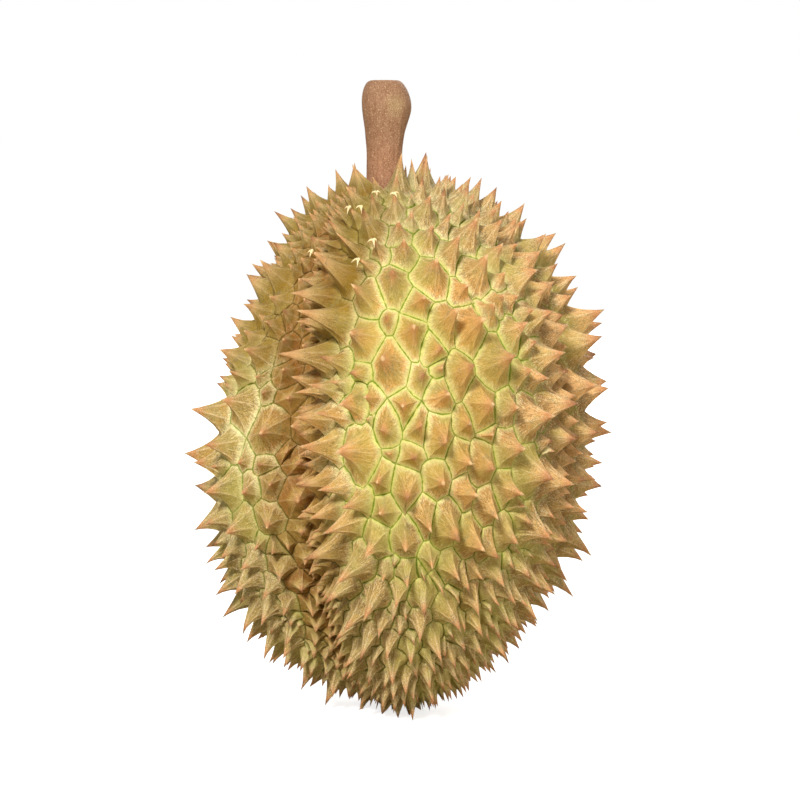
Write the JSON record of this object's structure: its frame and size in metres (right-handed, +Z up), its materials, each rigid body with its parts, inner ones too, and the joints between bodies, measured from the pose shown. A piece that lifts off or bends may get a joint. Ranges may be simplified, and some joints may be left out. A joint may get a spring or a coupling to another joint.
{
  "type": "durian",
  "caption": "Whole durian standing upright on its blossom end: a lobed, egg-shaped fruit covered in pyramid thorns, with a short woody stalk on top.",
  "frame": {"origin": "middle of the small flat spot under the fruit, where its lowest thorns are pressed flat", "axes": "+Z up through the fruit towards the stalk, -Y towards the viewer, +X to the viewer's right"},
  "size_m": [0.2087, 0.2011, 0.306],
  "materials": {
    "rind": "matt fibrous husk, tan thorns with orange-brown tips, yellow-green at their feet",
    "stalk_bark": "matt reddish-brown bark, finely speckled"
  },
  "bodies": {
    "root": {"spiny_rind": "rind", "stalk": "stalk_bark"}
  },
  "joints": []
}
